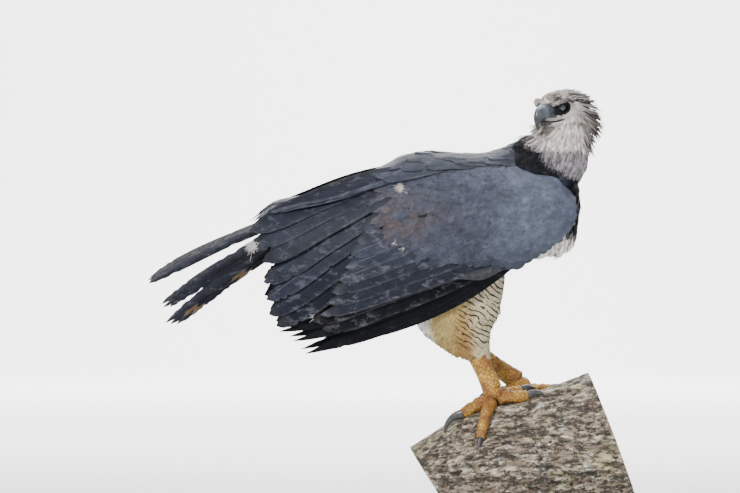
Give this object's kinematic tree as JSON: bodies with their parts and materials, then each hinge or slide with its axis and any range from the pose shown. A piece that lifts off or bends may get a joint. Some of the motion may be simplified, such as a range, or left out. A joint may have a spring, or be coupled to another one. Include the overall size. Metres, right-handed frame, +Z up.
{
  "type": "harpy eagle model",
  "caption": "Life-size still model of a perched harpy eagle with folded wings, drooped tail and head turned back, on a cut length of bough held by a plain display stand.",
  "frame": {"origin": "centre of the underside of the stand's base", "axes": "+X the way the breast points, +Y the bird's left, +Z up; the picture looks along +Y"},
  "size_m": [0.9737, 0.2959, 1.0231],
  "materials": {
    "slate_feather": "matt slate-black feathering with a faint blue sheen",
    "black_feather": "matt black feathering with grey bars",
    "grey_feather": "soft grey head feathering",
    "ash_feather": "grey neck feathering with dark tips",
    "pale_feather": "soft white to cream feathering",
    "scaled_skin": "yellow-orange scaled skin",
    "bill_skin": "smooth dark grey skin",
    "horn": "dark polished horn",
    "eye": "wet dark eye",
    "bark": "rough bark with pale lichen",
    "stand_wood": "dark satin varnish",
    "stand_steel": "satin steel"
  },
  "bodies": {
    "root": {"perch": "bark", "stand_base": "stand_wood", "stand_rod_1": "stand_steel", "stand_rod_2": "stand_steel", "cere": "bill_skin", "bill_upper": "horn", "bill_lower": "horn", "eye_right": "eye", "eye_left": "eye", "head": "grey_feather", "neck": "ash_feather", "chest": "pale_feather", "belly": "pale_feather", "rump": "slate_feather", "tail": "black_feather", "wing_right": "slate_feather", "wing_left": "slate_feather", "thigh_right": "pale_feather", "shin_right": "scaled_skin", "foot_right": "scaled_skin", "claw_right_1": "horn", "claw_right_2": "horn", "claw_right_3": "horn", "claw_right_4": "horn", "thigh_left": "pale_feather", "shin_left": "scaled_skin", "foot_left": "scaled_skin", "claw_left_1": "horn", "claw_left_2": "horn", "claw_left_3": "horn", "claw_left_4": "horn"}
  },
  "joints": []
}
